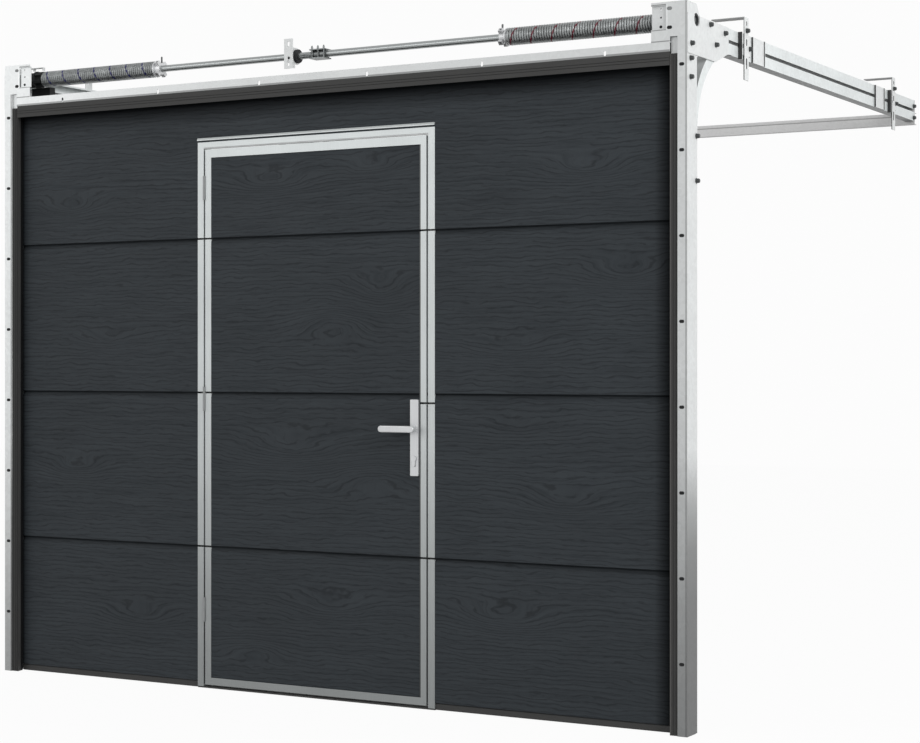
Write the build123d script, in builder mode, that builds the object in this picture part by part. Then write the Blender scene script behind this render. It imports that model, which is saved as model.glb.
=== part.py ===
from build123d import *
import os

# Sectional garage door with a wicket door, for a clear opening of 2500 by 2000 mm.
# The outside of the door looks along -Y, the tracks run back along +Y, and +Z is up.
# The origin is on the wall face of the left jamb, at floor level, on the line of its screw slots.

os.makedirs("parts", exist_ok=True)

# Opening and jambs
opening_width = 2500.0
opening_height = 2000.0
jamb_past_opening = 44.0
jamb_front_width = 30.0
jamb_rebate_width = 24.0
jamb_rebate_depth = 9.0
jamb_depth = 72.0
jamb_sheet = 2.0
jamb_above_opening = 19.0
jamb_foot_radius = 14.0
jamb_slot_inset = 18.0
jamb_slot_length = 14.0
jamb_slot_width = 8.0
jamb_slot_first = 208.0
jamb_slot_last_below = 63.0
jamb_slot_count = 8
fit_gap = 0.3

# Leaf
section_height = 510.0
leaf_front = 36.0
leaf_thickness = 40.0
leaf_past_opening = -5.0
end_cap_sheet = 2.0
end_cap_flange = 60.0
end_cap_lip = 1.5
leaf_top_drop = 15.0
joint_bevel = 2.0
joint_slope_height = 16.0
joint_slope_depth = 6.0
tongue_width = 12.0
tongue_height = 8.0
tongue_play = 0.5
bottom_seal_height = 22.0
bottom_seal_inset = 3.0

# Wicket door and its frame, measured from the middle of the opening
wicket_left = -479.0
wicket_right = 433.5
wicket_head_below = 190.0
profile_face = 24.0
head_face = 18.0
top_rail_face = 27.5
profile_proud = 1.5
profile_joint = 6.0
profile_tongue_set_back = 12.0
lock_split_drop = 28.0
wicket_gap = 6.5
threshold_height = 5.0
drip_cap_rise = 5.5
drip_cap_height = 8.5
drip_cap_depth = 6.0
drip_cap_lip = 3.0

# Wicket hinges
hinge_count = 3
hinge_first = 260.0
hinge_last_below = 152.0
hinge_knuckle = 40.0
hinge_knuckle_radius = 3.6
hinge_pin_radius = 1.8
hinge_pin_play = 0.05
hinge_pivot_proud = 2.5
hinge_leaf_depth = 24.0
hinge_leaf_sheet = 1.2

# Lock set
handle_x = 363.0
lever_below_joint = 109.0
plate_width = 29.0
plate_below_lever = 146.0
plate_height = 238.0
plate_thickness = 8.0
plate_corner = 3.0
cylinder_drop = 92.0
cylinder_radius = 8.5
cylinder_web = 10.0
cylinder_height = 33.0
cylinder_proud = 4.0
lever_reach = 114.0
lever_heel = 16.0
lever_bar_height = 21.0
lever_bar_depth = 12.0
lever_bar_round = 3.5
lever_standoff = 22.0
lever_neck_radius = 10.0
lever_neck_play = 0.1
lever_seat = 5.0
spindle_side = 8.0
spindle_hole_radius = 12.0

# Seals
seal_width = 26.0
seal_sheet = 8.0
seal_lip = 3.0
seal_lap = 1.0
seal_set_back = 4.5
top_seal_set_back = 0.5
top_lip_drop = 4.0
top_seal_sheet = 4.0
seal_groove_width = 1.6
seal_groove_depth = 2.0
side_seal_grooves = (7.0, 14.0, 20.0)
top_seal_grooves = (13.0, 21.0)
side_seal_drop = 30.0
top_seal_height = 39.5

# Lintel strip
lintel_height = 29.0
lintel_drop = 24.0
lintel_return = 16.0
lintel_slot_pitch = 413.0
lintel_slot_count = 6
lintel_slot_length = 15.0
lintel_slot_width = 8.0
lintel_slot_rise = 9.5

# Spring shaft
shaft_radius = 11.0
shaft_play = 0.1
shaft_y = 67.0
shaft_above_opening = 73.0
shaft_end_inset = 4.0
shaft_split = -16.0
coupling_left = -42.0
coupling_right = 16.0
coupling_radius = 14.5
coupling_plate = 3.5
coupling_plate_rise = 12.0
coupling_plate_width = 42.0
spring_to_drum = 28.0
spring_length = 496.0
spring_radius = 27.5
spring_wire = 6.0
cone_insert = 40.0
cone_flange = 3.0
cone_collar_radius = 19.0
cone_collar_length = 24.0
cone_lobes = 4
cone_lobe_width = 14.0
cone_lobe_length = 14.0
cone_lobe_reach = 30.0
cone_hole_radius = 4.5
anchor_lobes = 6
anchor_core_radius = 19.0
anchor_lobe_width = 10.0
drum_length = 56.0
drum_radius = 26.0
drum_flange_radius = 30.0
drum_flange = 4.0
drum_clear = 2.0
cable_radius = 1.5

# Brackets at the wall
end_bracket_width = 113.0
end_bracket_top = 120.0
end_bracket_sheet = 3.0
end_bracket_depth = 110.0
end_bracket_shoulder = 70.0
end_bracket_step = 94.0
end_bore_radius = 19.0
end_bearing_radius = 23.0
end_bearing_length = 10.0
pocket_depth = 10.0
pocket_hole_radius = 3.0
pocket_hole_inset = 28.0
pocket_holes = (50.0, 77.0, 101.0)
keeper_inset = 120.0
keeper_span = 43.0
keeper_rise = 40.0
keeper_width = 12.0
keeper_leg = 8.0
end_bracket_slot_inset = 54.0
end_bracket_slots = (45.0, 100.0)
notch_width = 47.0
notch_low = 40.0
notch_high = 112.0
centre_bracket_x = -91.5
centre_bracket_width = 33.0
centre_bracket_low = 24.0
centre_web_radius = 27.0
centre_slot_width = 9.0
centre_slot_length = 20.0
centre_slots = (101.0, 42.0)
centre_tab = 12.0
centre_tab_shift = 15.0
bearing_radius = 22.0
bearing_length = 10.0
bearing_seat = 4.0
corner_plate_sheet = 2.5
corner_plate_low = -31.0
corner_plate_length = 310.0
corner_plate_foot = 210.0
corner_plate_bore = 20.0

# Tracks
track_depth = 34.0
track_width = 36.0
track_sheet = 2.0
track_lip = 6.0
track_front = 45.0
curve_radius = 265.0
curve_centre_y = 345.0
rail_gap = 11.0
rail_end = 2200.0
upper_rail_start = 125.0
splice_sheet = 3.0
splice_rib = 3.0
splice_rib_proud = 3.0
splice_starts = (507.0, 1718.0)
splice_length = 104.0
hanger_starts = (434.0, 1909.0)
hanger_width = 36.0
hanger_sheet = 3.0
hanger_reach = 109.0
hanger_below = 62.0
hanger_slot_width = 9.0
hanger_slots = ((-11.0, 34.0), (54.0, 22.0), (112.0, 14.0))
clamp_before = 38.0
clamp_after = 22.0
clamp_flange = 14.0
clamp_low = 14.0
clamp_flange_low = -4.0
hanger_above = 52.0
crossbar_height = 45.0
crossbar_depth = 30.0
crossbar_sheet = 2.0
crossbar_step = 4.0
crossbar_step_height = 12.0
end_plate_sheet = 2.5
end_plate_inset = 42.0
crossbar_below_rail = 12.0

# Rollers and hinges on the back of the leaf
roller_radius = 13.5
roller_width = 12.0
roller_axle_radius = 5.0
roller_axle_play = 0.1
roller_past_track = 6.0
bracket_sheet = 2.5
bracket_width = 50.0
bracket_half_height = 35.0
bracket_ear_width = 40.0
bracket_ear_edge = 14.0
cable_pin_radius = 2.8
cable_pin_edge = 3.0
top_bracket_drop = 110.0
bottom_roller_height = 70.0
top_roller_y = 150.0
top_block_width = 83.0
top_block_drop = 10.0
top_block_height = 58.0
top_block_front = 84.0
top_block_depth = 27.0
back_hinge_width = 56.0
back_hinge_height = 96.0
back_hinge_sheet = 2.5
back_hinge_knuckle = 5.0

# Places worked out from the sizes above
half_opening = opening_width / 2
jamb_outer = half_opening + jamb_past_opening
jamb_front_inner = jamb_outer - jamb_front_width
jamb_inner = jamb_front_inner - jamb_rebate_width
slot_line = jamb_outer - jamb_slot_inset
middle_x = slot_line
jamb_top = opening_height + jamb_above_opening
jamb_slot_pitch = (opening_height - jamb_slot_last_below - jamb_slot_first) / (jamb_slot_count - 1)
leaf_back = leaf_front + leaf_thickness
leaf_end = half_opening + leaf_past_opening
section_end = leaf_end - end_cap_sheet
first_joint = opening_height - 3 * section_height
joints = [first_joint + i * section_height for i in range(3)]
leaf_top = opening_height - leaf_top_drop
section_edges = [bottom_seal_height] + joints + [leaf_top]
lintel_low = opening_height - lintel_drop
side_seal_top = opening_height - side_seal_drop
wicket_head = opening_height - wicket_head_below
hinge_last = wicket_head - hinge_last_below
lever_height = joints[1] - lever_below_joint
plate_bottom = lever_height - plate_below_lever
profile_front = leaf_front - profile_proud
profile_back = leaf_back + profile_proud
door_left = wicket_left + profile_face + wicket_gap
door_right = wicket_right - profile_face - wicket_gap
door_top = wicket_head - head_face - wicket_gap
door_bottom = threshold_height + wicket_gap
panel_left = door_left + profile_face
panel_right = door_right - profile_face
panel_top = door_top - top_rail_face
panel_bottom = door_bottom + profile_face
pivot_x = (wicket_left + profile_face + door_left) / 2
pivot_y = profile_front - hinge_pivot_proud
shaft_z = opening_height + shaft_above_opening
track_outer = jamb_outer - jamb_sheet
track_inner = track_outer - track_width
curve_centre_z = opening_height + 6.0 - curve_radius
lower_rail_low = curve_centre_z + curve_radius
upper_rail_low = lower_rail_low + track_depth + rail_gap
rails_top = upper_rail_low + track_depth
crossbar_low = lower_rail_low - crossbar_below_rail
end_bracket_slot_x = jamb_outer - end_bracket_slot_inset
roller_y = track_front + track_depth / 2
bracket_face = leaf_back + end_cap_lip
drum_outer = track_inner - drum_clear + 2.0
cable_y = shaft_y - drum_radius - cable_radius - fit_gap
cable_x = drum_outer - 3.0
drum_inner = drum_outer - drum_length
spring_outer_end = drum_inner - spring_to_drum
spring_inner_end = spring_outer_end - spring_length
cone_bore = shaft_radius + shaft_play


def across(side, distance):
    """X of a point at a distance from the middle of the opening, right for 1 and left for -1."""
    return middle_x + side * distance


def low_x(side, first, second):
    """The lower X of a stretch between two distances from the middle."""
    return min(across(side, first), across(side, second))


def block(x, y, z, size_x, size_y, size_z):
    """A plain block by its lowest corner, for use inside a part."""
    with Locations((x, y, z)):
        Box(size_x, size_y, size_z, align=(Align.MIN, Align.MIN, Align.MIN))


def bar_along_x(points, x, length):
    """A closed outline of (y, z) points, drawn out along X."""
    with BuildSketch(Plane.YZ.offset(x)) as outline_sketch:
        with BuildLine():
            Polyline(*points, close=True)
        make_face()
    extrude(outline_sketch.sketch, amount=length)


def bar_along_z(points, z, length):
    """A closed outline of (x, y) points, drawn out along Z."""
    with BuildSketch(Plane.XY.offset(z)) as outline_sketch:
        with BuildLine():
            Polyline(*points, close=True)
        make_face()
    extrude(outline_sketch.sketch, amount=length)


def finish(builder, name):
    """Labels a finished piece and writes it."""
    builder.part.label = name
    export_step(builder.part, "parts/" + name + ".step")


SIDES = {"left": -1, "right": 1}

# Jambs: pressed angles with a rebate for the seal and a row of screw slots
for side_name, side in SIDES.items():
    outline = [
        (jamb_outer, 0),
        (jamb_outer, jamb_depth),
        (jamb_outer - jamb_sheet, jamb_depth),
        (jamb_outer - jamb_sheet, jamb_sheet),
        (jamb_front_inner + jamb_sheet, jamb_sheet),
        (jamb_front_inner + jamb_sheet, jamb_rebate_depth + jamb_sheet),
        (jamb_inner, jamb_rebate_depth + jamb_sheet),
        (jamb_inner, jamb_rebate_depth),
        (jamb_front_inner, jamb_rebate_depth),
        (jamb_front_inner, 0),
    ]
    with BuildPart() as jamb:
        bar_along_z([(across(side, x), y) for x, y in outline], 0, jamb_top)
        foot = jamb.edges().filter_by(Axis.X).group_by(Axis.Z)[0].group_by(Axis.Y)[-1]
        fillet(foot, jamb_foot_radius)
        slot_heights = [jamb_slot_first + i * jamb_slot_pitch for i in range(jamb_slot_count)]
        with BuildSketch(Plane.XZ):
            with Locations(*[(across(side, slot_line), z) for z in slot_heights]):
                SlotOverall(jamb_slot_length, jamb_slot_width)
        extrude(amount=-jamb_sheet, mode=Mode.SUBTRACT)
    finish(jamb, side_name + "_jamb")

# Side seals: a strip in the jamb's rebate with a lip that lies on the leaf
seal_outer = jamb_front_inner - fit_gap
seal_inner = jamb_front_inner - seal_width
lip_outer = jamb_inner - fit_gap
outline = [
    (seal_outer, seal_set_back),
    (seal_outer, jamb_rebate_depth - fit_gap),
    (lip_outer, jamb_rebate_depth - fit_gap),
    (lip_outer, jamb_rebate_depth + jamb_sheet + fit_gap),
    (leaf_end + seal_lip, leaf_front - fit_gap),
    (leaf_end - seal_lap, leaf_front - fit_gap),
    (seal_inner, seal_sheet),
    (seal_inner, seal_set_back),
]
for groove in reversed(side_seal_grooves):
    outline += [
        (seal_outer - groove, seal_set_back),
        (seal_outer - groove, seal_set_back + seal_groove_depth),
        (seal_outer - groove + seal_groove_width, seal_set_back + seal_groove_depth),
        (seal_outer - groove + seal_groove_width, seal_set_back),
    ]
with BuildPart() as side_seals:
    for side in SIDES.values():
        bar_along_z([(across(side, x), y) for x, y in outline], 0, side_seal_top)
finish(side_seals, "side_seals")

# Lintel strip with its slots, and the top seal under it
with BuildPart() as lintel_strip:
    outline = [
        (0, lintel_low),
        (0, lintel_low + lintel_height),
        (lintel_return, lintel_low + lintel_height),
        (lintel_return, lintel_low + lintel_height - jamb_sheet),
        (jamb_sheet, lintel_low + lintel_height - jamb_sheet),
        (jamb_sheet, lintel_low),
    ]
    lintel_half = jamb_inner - fit_gap
    bar_along_x(outline, middle_x - lintel_half, 2 * lintel_half)
    slot_offsets = [(i - (lintel_slot_count - 1) / 2) * lintel_slot_pitch for i in range(lintel_slot_count)]
    with BuildSketch(Plane.XZ):
        with Locations(*[(middle_x + x, lintel_low + lintel_slot_rise) for x in slot_offsets]):
            SlotOverall(lintel_slot_length, lintel_slot_width, rotation=90)
    extrude(amount=-jamb_sheet, mode=Mode.SUBTRACT)
finish(lintel_strip, "lintel_strip")

with BuildPart() as top_seal:
    seal_low = lintel_low - top_seal_height
    outline = [(top_seal_set_back, seal_low)]
    for groove in top_seal_grooves:
        outline += [
            (top_seal_set_back, seal_low + groove),
            (top_seal_set_back + seal_groove_depth, seal_low + groove),
            (top_seal_set_back + seal_groove_depth, seal_low + groove + seal_groove_width),
            (top_seal_set_back, seal_low + groove + seal_groove_width),
        ]
    lip_top = lintel_low - top_lip_drop
    outline += [
        (top_seal_set_back, lintel_low),
        (top_seal_sheet, lintel_low),
        (leaf_front - fit_gap, lip_top),
        (leaf_front - fit_gap, lip_top - seal_lip),
        (top_seal_sheet, lip_top - 2 * seal_lip),
        (top_seal_sheet, seal_low),
    ]
    top_seal_half = jamb_front_inner - seal_width - fit_gap
    bar_along_x(outline, middle_x - top_seal_half, 2 * top_seal_half)
finish(top_seal, "top_seal")

# Leaf sections with a tongue and groove between them


def section_outline(low, high, groove, tongue):
    """The (y, z) outline of one section, front face first."""
    middle_y = leaf_front + leaf_thickness / 2
    groove_half = tongue_width / 2 + tongue_play
    points = [(leaf_front + joint_bevel, low), (leaf_front, low + joint_bevel)]
    if tongue:
        points += [(leaf_front, high - joint_slope_height), (leaf_front + joint_slope_depth, high)]
        points += [(middle_y - tongue_width / 2, high), (middle_y - tongue_width / 2, high + tongue_height)]
        points += [(middle_y + tongue_width / 2, high + tongue_height), (middle_y + tongue_width / 2, high)]
    else:
        points += [(leaf_front, high - joint_bevel), (leaf_front + joint_bevel, high)]
    points += [(leaf_back, high), (leaf_back, low)]
    if groove:
        depth = tongue_height + tongue_play
        points += [(middle_y + groove_half, low), (middle_y + groove_half, low + depth)]
        points += [(middle_y - groove_half, low + depth), (middle_y - groove_half, low)]
    return points


for number in range(1, 5):
    low = section_edges[number - 1]
    high = section_edges[number]
    outline = section_outline(low, high, number > 1, number < 4)
    with BuildPart() as section:
        bar_along_x(outline, middle_x - section_end, 2 * section_end)
        doorway_height = min(high + 2 * tongue_height, wicket_head) - low
        with Locations((middle_x + wicket_left, leaf_front, low)):
            Box(
                wicket_right - wicket_left,
                leaf_thickness,
                doorway_height,
                align=(Align.MIN, Align.MIN, Align.MIN),
                mode=Mode.SUBTRACT,
            )
    finish(section, "section_" + str(number))

# End caps close the sections and carry the roller brackets
with BuildPart() as end_caps:
    for side in SIDES.values():
        for low, high in zip(section_edges[:-1], section_edges[1:]):
            outline = [
                (leaf_end, leaf_front),
                (leaf_end, bracket_face),
                (section_end - end_cap_flange, bracket_face),
                (section_end - end_cap_flange, leaf_back),
                (section_end, leaf_back),
                (section_end, leaf_front),
            ]
            bar_along_z([(across(side, x), y) for x, y in outline], low + fit_gap, high - low - 2 * fit_gap)
finish(end_caps, "end_caps")

# Rubber seal under both leaf halves
with BuildPart() as bottom_seal:
    for start, end in ((-leaf_end, wicket_left), (wicket_right, leaf_end)):
        with BuildSketch(Plane.YZ.offset(middle_x + start)):
            with Locations((leaf_front + leaf_thickness / 2, bottom_seal_height / 2)):
                RectangleRounded(leaf_thickness - 2 * bottom_seal_inset, bottom_seal_height, 6)
        extrude(amount=end - start)
finish(bottom_seal, "bottom_seal")

# Wicket frame: profiles on the leaf round the doorway, split where the sections fold
frame_edges = [threshold_height] + joints + [wicket_head - head_face + profile_joint / 2]
lock_joints = [joints[0], joints[1] - lock_split_drop, joints[2]]
lock_frame_edges = [frame_edges[0]] + lock_joints + [frame_edges[-1]]


def profile_run(start, width, edges):
    """Upright profile pieces between the folds of the leaf."""
    for low, high in zip(edges[:-1], edges[1:]):
        trim_low = 0 if low == edges[0] else profile_joint / 2
        z = low + trim_low
        height = high - profile_joint / 2 - z
        block(middle_x + start, profile_front, z, width, profile_back - profile_front, height)
        if trim_low:
            tongue = profile_joint - fit_gap
            depth = profile_back - profile_front - 2 * profile_tongue_set_back
            block(middle_x + start, profile_front + profile_tongue_set_back, z - tongue, width, depth, tongue)


with BuildPart() as wicket_frame_left:
    profile_run(wicket_left, profile_face, frame_edges)
finish(wicket_frame_left, "wicket_frame_left")

with BuildPart() as wicket_frame_right:
    profile_run(wicket_right - profile_face, profile_face, lock_frame_edges)
finish(wicket_frame_right, "wicket_frame_right")

with BuildPart() as wicket_frame_head:
    block(
        middle_x + wicket_left,
        profile_front,
        wicket_head - head_face,
        wicket_right - wicket_left,
        profile_back - profile_front,
        head_face,
    )
finish(wicket_frame_head, "wicket_frame_head")

with BuildPart() as drip_cap:
    cap_low = wicket_head + drip_cap_rise
    cap_top = cap_low + drip_cap_height
    outline = [
        (leaf_front, cap_low),
        (leaf_front, cap_top),
        (leaf_front - drip_cap_lip, cap_top),
        (leaf_front - drip_cap_depth, cap_low + drip_cap_lip),
        (leaf_front - drip_cap_depth, cap_low),
    ]
    bar_along_x(outline, middle_x + wicket_left, wicket_right - wicket_left)
finish(drip_cap, "drip_cap")

with BuildPart() as threshold:
    block(
        middle_x + wicket_left,
        leaf_front,
        0,
        wicket_right - wicket_left,
        leaf_thickness,
        threshold_height,
    )
finish(threshold, "threshold")

# Wicket panels carry on the lines of the sections
panel_edges = [panel_bottom] + joints + [panel_top]
for number in range(1, 5):
    low = panel_edges[number - 1]
    high = panel_edges[number]
    outline = section_outline(low, high, number > 1, number < 4)
    with BuildPart() as wicket_panel:
        bar_along_x(outline, middle_x + panel_left, panel_right - panel_left)
        if low < lever_height < high:
            with BuildSketch(Plane.XZ.offset(-leaf_front)):
                with Locations((middle_x + handle_x, lever_height)):
                    Circle(spindle_hole_radius)
                with Locations((middle_x + handle_x, lever_height - cylinder_drop)):
                    Circle(cylinder_radius + fit_gap)
                web_height = cylinder_height - cylinder_radius + fit_gap
                with Locations((middle_x + handle_x, lever_height - cylinder_drop - web_height / 2)):
                    Rectangle(cylinder_web + 2 * fit_gap, web_height)
            extrude(amount=-leaf_thickness, mode=Mode.SUBTRACT)
    finish(wicket_panel, "wicket_panel_" + str(number))

stile_edges = [door_bottom] + joints + [door_top + profile_joint / 2]
with BuildPart() as wicket_hinge_stile:
    profile_run(door_left, profile_face, stile_edges)
finish(wicket_hinge_stile, "wicket_hinge_stile")

with BuildPart() as wicket_lock_stile:
    profile_run(panel_right, profile_face, [stile_edges[0]] + lock_joints + [stile_edges[-1]])
finish(wicket_lock_stile, "wicket_lock_stile")

with BuildPart() as wicket_rails:
    for z, height in ((door_bottom, profile_face), (panel_top, top_rail_face)):
        block(
            middle_x + panel_left,
            profile_front,
            z,
            panel_right - panel_left,
            profile_back - profile_front,
            height,
        )
finish(wicket_rails, "wicket_rails")

# Wicket hinges: the frame half carries the pin, the door half turns on it
hinge_step = (hinge_last - hinge_first) / (hinge_count - 1)
hinge_heights = [hinge_first + i * hinge_step for i in range(hinge_count)]


def hinge_half(side, z, height):
    """A knuckle in front of the gap with a leaf on the side face of its profile."""
    with BuildSketch(Plane.XY.offset(z)) as half_sketch:
        with Locations((middle_x + pivot_x, pivot_y)):
            Circle(hinge_knuckle_radius)
        leaf_x = middle_x + pivot_x + side * (wicket_gap - hinge_leaf_sheet) / 2
        with Locations((leaf_x, pivot_y + hinge_leaf_depth / 2)):
            Rectangle(hinge_leaf_sheet, hinge_leaf_depth)
    extrude(half_sketch.sketch, amount=height)


with BuildPart() as wicket_hinges_frame_side:
    for z in hinge_heights:
        hinge_half(-1, z - hinge_knuckle, hinge_knuckle)
        with BuildSketch(Plane.XY.offset(z)):
            with Locations((middle_x + pivot_x, pivot_y)):
                Circle(hinge_pin_radius)
        extrude(amount=hinge_knuckle)
finish(wicket_hinges_frame_side, "wicket_hinges_frame_side")

with BuildPart() as wicket_hinges_door_side:
    for z in hinge_heights:
        hinge_half(1, z + fit_gap, hinge_knuckle)
    with BuildSketch(Plane.XY):
        with Locations((middle_x + pivot_x, pivot_y)):
            Circle(hinge_pin_radius + hinge_pin_play)
    extrude(amount=opening_height, mode=Mode.SUBTRACT)
finish(wicket_hinges_door_side, "wicket_hinges_door_side")

# Lock set: long plates, profile cylinder, and two levers on a square spindle
plate_outer_y = leaf_front - plate_thickness
plate_inner_y = leaf_back
plate_middle_z = plate_bottom + plate_height / 2
with BuildPart() as handle_plates:
    for start in (plate_outer_y, plate_inner_y):
        with BuildSketch(Plane.XZ.offset(-start)):
            with Locations((middle_x + handle_x, plate_middle_z)):
                RectangleRounded(plate_width, plate_height, plate_corner)
            with Locations((middle_x + handle_x, lever_height)):
                Circle(lever_neck_radius + lever_neck_play, mode=Mode.SUBTRACT)
            with Locations((middle_x + handle_x, lever_height - cylinder_drop)):
                Circle(cylinder_radius + fit_gap, mode=Mode.SUBTRACT)
            web_height = cylinder_height - cylinder_radius + fit_gap
            with Locations((middle_x + handle_x, lever_height - cylinder_drop - web_height / 2)):
                Rectangle(cylinder_web + 2 * fit_gap, web_height, mode=Mode.SUBTRACT)
        extrude(amount=-plate_thickness)
finish(handle_plates, "handle_plates")

with BuildPart() as lock_cylinder:
    with BuildSketch(Plane.XZ.offset(-(plate_outer_y - cylinder_proud))):
        with Locations((middle_x + handle_x, lever_height - cylinder_drop)):
            Circle(cylinder_radius)
        web_height = cylinder_height - cylinder_radius - cylinder_web / 2
        with Locations((middle_x + handle_x, lever_height - cylinder_drop - web_height / 2)):
            Rectangle(cylinder_web, web_height)
        with Locations((middle_x + handle_x, lever_height - cylinder_drop - web_height)):
            Circle(cylinder_web / 2)
    extrude(amount=-(leaf_thickness + 2 * plate_thickness + 2 * cylinder_proud))
finish(lock_cylinder, "lock_cylinder")


def lever(face_y, direction):
    """A neck that turns in the plate and a bar that points to the hinge side."""
    bar_y = face_y + direction * (lever_standoff + lever_bar_depth / 2)
    neck_start = face_y - direction * lever_seat
    neck_length = lever_standoff + lever_seat + lever_bar_depth
    with BuildSketch(Plane.XZ.offset(-neck_start)) as neck_sketch:
        with Locations((middle_x + handle_x, lever_height)):
            Circle(lever_neck_radius)
    extrude(neck_sketch.sketch, amount=-direction * neck_length)
    bar_length = lever_reach + lever_heel
    with BuildSketch(Plane.XZ.offset(-(bar_y - lever_bar_depth / 2))) as bar_sketch:
        with Locations((middle_x + handle_x + lever_heel - bar_length / 2, lever_height)):
            SlotOverall(bar_length, lever_bar_height)
    bar = extrude(bar_sketch.sketch, amount=-lever_bar_depth, mode=Mode.PRIVATE)
    rims = bar.edges().filter_by(lambda edge: edge.length > lever_bar_depth + 1)
    add(bar.fillet(lever_bar_round, rims))


with BuildPart() as outside_lever:
    lever(plate_outer_y, -1)
finish(outside_lever, "outside_lever")

with BuildPart() as inside_lever:
    lever(plate_inner_y + plate_thickness, 1)
finish(inside_lever, "inside_lever")

with BuildPart() as spindle:
    spindle_start = plate_outer_y + lever_seat
    spindle_length = leaf_thickness + 2 * plate_thickness - 2 * lever_seat
    with BuildSketch(Plane.XZ.offset(-spindle_start)):
        with Locations((middle_x + handle_x, lever_height)):
            Rectangle(spindle_side, spindle_side)
    extrude(amount=-spindle_length)
finish(spindle, "spindle")

# End brackets carry the shaft at the wall
with BuildPart() as end_brackets:
    for side in SIDES.values():
        low = opening_height + jamb_above_opening
        top = opening_height + end_bracket_top
        bracket_inner = jamb_outer - end_bracket_width
        x = low_x(side, bracket_inner, jamb_outer)
        block(x, 0, low, end_bracket_width, end_bracket_sheet, top - low)
        apron_low = lintel_low + lintel_height + fit_gap
        apron_x = low_x(side, bracket_inner, jamb_inner)
        block(apron_x, 0, apron_low, jamb_inner - bracket_inner, end_bracket_sheet, low - apron_low)
        keeper_inner = jamb_outer - keeper_inset
        keeper_x = low_x(side, keeper_inner, jamb_outer - end_bracket_sheet)
        keeper_low = shaft_z + keeper_rise
        keeper_y = shaft_y - keeper_width / 2
        keeper_length = jamb_outer - end_bracket_sheet - keeper_inner
        block(keeper_x, keeper_y, keeper_low, keeper_length, keeper_width, end_bracket_sheet)
        for leg_start in (keeper_inner, keeper_inner + keeper_span):
            leg_x = low_x(side, leg_start, leg_start + end_bracket_sheet)
            block(leg_x, keeper_y, keeper_low - keeper_leg, end_bracket_sheet, keeper_width, keeper_leg)
        with BuildSketch(Plane.YZ.offset(low_x(side, jamb_outer - end_bracket_sheet, jamb_outer))):
            with BuildLine():
                Polyline(
                    (0, low),
                    (0, top),
                    (end_bracket_shoulder, top),
                    (end_bracket_step, rails_top),
                    (end_bracket_depth, rails_top),
                    (end_bracket_depth, low),
                    close=True,
                )
            make_face()
            with Locations((shaft_y, shaft_z)):
                Circle(end_bore_radius + shaft_play, mode=Mode.SUBTRACT)
        extrude(amount=end_bracket_sheet)
        with BuildSketch(Plane.XZ):
            notch_x = across(side, bracket_inner + notch_width / 2)
            with Locations((notch_x, opening_height + (notch_low + notch_high) / 2)):
                Rectangle(notch_width, notch_high - notch_low)
            for z in end_bracket_slots:
                with Locations((across(side, end_bracket_slot_x), opening_height + z)):
                    SlotOverall(jamb_slot_length, jamb_slot_width)
        extrude(amount=-end_bracket_sheet, mode=Mode.SUBTRACT)
        pocket_x = low_x(side, bracket_inner, bracket_inner + notch_width)
        pocket_low = opening_height + notch_low
        pocket_top = opening_height + notch_high
        back = pocket_depth - end_bracket_sheet
        block(pocket_x, back, pocket_low, notch_width, end_bracket_sheet, pocket_top - pocket_low)
        for z in (pocket_low, pocket_top - jamb_sheet):
            block(pocket_x, 0, z, notch_width, back, jamb_sheet)
        with BuildSketch(Plane.XZ.offset(-back)):
            for z in pocket_holes:
                with Locations((across(side, bracket_inner + pocket_hole_inset), opening_height + z)):
                    Circle(pocket_hole_radius)
        extrude(amount=-end_bracket_sheet, mode=Mode.SUBTRACT)
finish(end_brackets, "end_brackets")

# Corner plates tie the jamb, the curve and both rails together
with BuildPart() as corner_plates:
    for side in SIDES.values():
        plate_low = opening_height + corner_plate_low
        with BuildSketch(Plane.YZ.offset(low_x(side, jamb_outer, jamb_outer + corner_plate_sheet))):
            with BuildLine():
                Polyline(
                    (0, plate_low),
                    (0, rails_top),
                    (corner_plate_length, rails_top),
                    (corner_plate_length, lower_rail_low),
                    (corner_plate_foot, plate_low),
                    close=True,
                )
            make_face()
            with Locations((shaft_y, shaft_z)):
                Circle(corner_plate_bore, mode=Mode.SUBTRACT)
        extrude(amount=corner_plate_sheet)
finish(corner_plates, "corner_plates")

# Tracks: channels open towards the leaf


def channel_outline(side, low):
    """Outline of a track in (distance along X, height) with its lips, lowest edge given."""
    top = low + track_depth
    points = [
        (track_outer, low),
        (track_outer, top),
        (track_inner, top),
        (track_inner, top - track_lip),
        (track_inner + track_sheet, top - track_lip),
        (track_inner + track_sheet, top - track_sheet),
        (track_outer - track_sheet, top - track_sheet),
        (track_outer - track_sheet, low + track_sheet),
        (track_inner + track_sheet, low + track_sheet),
        (track_inner + track_sheet, low + track_lip),
        (track_inner, low + track_lip),
        (track_inner, low),
    ]
    return [(across(side, x), z) for x, z in points]


with BuildPart() as vertical_tracks:
    for side in SIDES.values():
        bar_along_z(channel_outline(side, track_front), 0, curve_centre_z)
finish(vertical_tracks, "vertical_tracks")

with BuildPart() as track_curves:
    for side in SIDES.values():
        with BuildSketch(Plane.XY.offset(curve_centre_z)):
            with BuildLine():
                Polyline(*channel_outline(side, track_front), close=True)
            make_face()
        turn_axis = Axis((middle_x, curve_centre_y, curve_centre_z), (-1, 0, 0))
        revolve(axis=turn_axis, revolution_arc=90)
finish(track_curves, "track_curves")

with BuildPart() as horizontal_rails:
    for side in SIDES.values():
        for start, low in ((curve_centre_y, lower_rail_low), (upper_rail_start, upper_rail_low)):
            with BuildSketch(Plane.XZ.offset(-start)):
                with BuildLine():
                    Polyline(*channel_outline(side, low), close=True)
                make_face()
            extrude(amount=start - rail_end)
finish(horizontal_rails, "horizontal_rails")

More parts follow.
